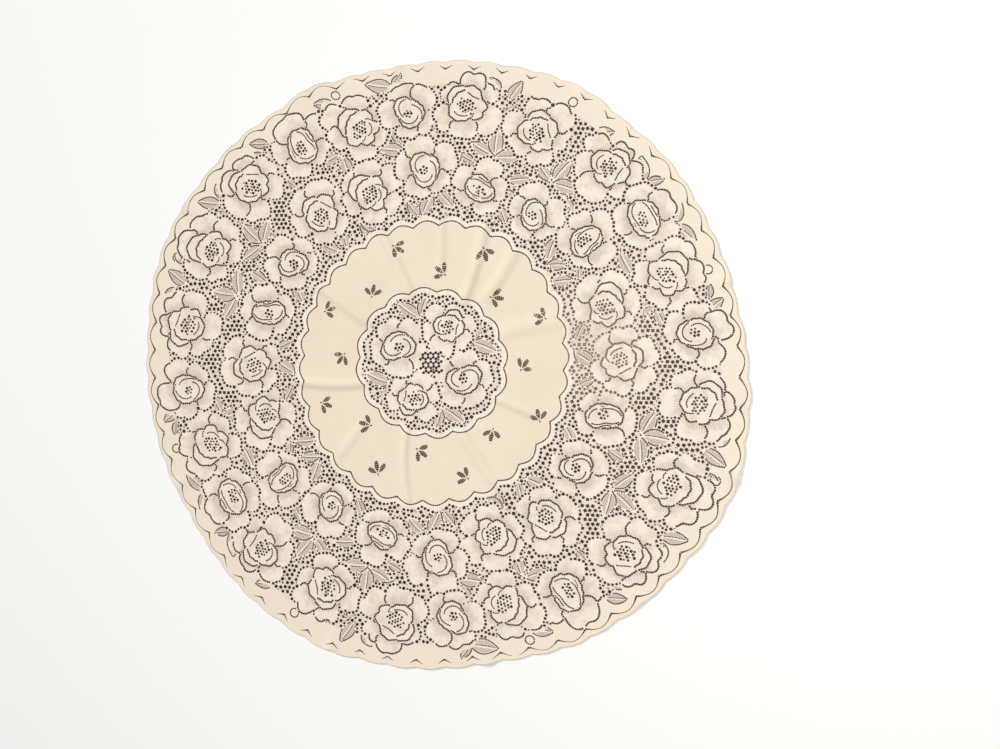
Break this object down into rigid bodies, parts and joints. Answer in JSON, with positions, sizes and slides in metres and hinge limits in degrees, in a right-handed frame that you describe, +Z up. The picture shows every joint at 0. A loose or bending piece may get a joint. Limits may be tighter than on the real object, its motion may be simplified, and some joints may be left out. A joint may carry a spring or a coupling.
{
  "type": "round lace tablecloth",
  "caption": "Round one-piece lace tablecloth, rose and leaf openwork around a plain band and a rose medallion, scalloped edge, lying flat with low creases.",
  "frame": {"origin": "middle of the laid cloth's outline, on the surface that the cloth lies on", "axes": "+Z up out of the cloth's face; +X and +Y across the cloth, towards the right and the top of the picture"},
  "size_m": [0.919, 0.8996, 0.0054],
  "materials": {
    "ivory_lace": "matt ivory cotton lace, dense in the petals and plain band, open net between them"
  },
  "bodies": {
    "root": {"lace_cloth": "ivory_lace"}
  },
  "joints": []
}
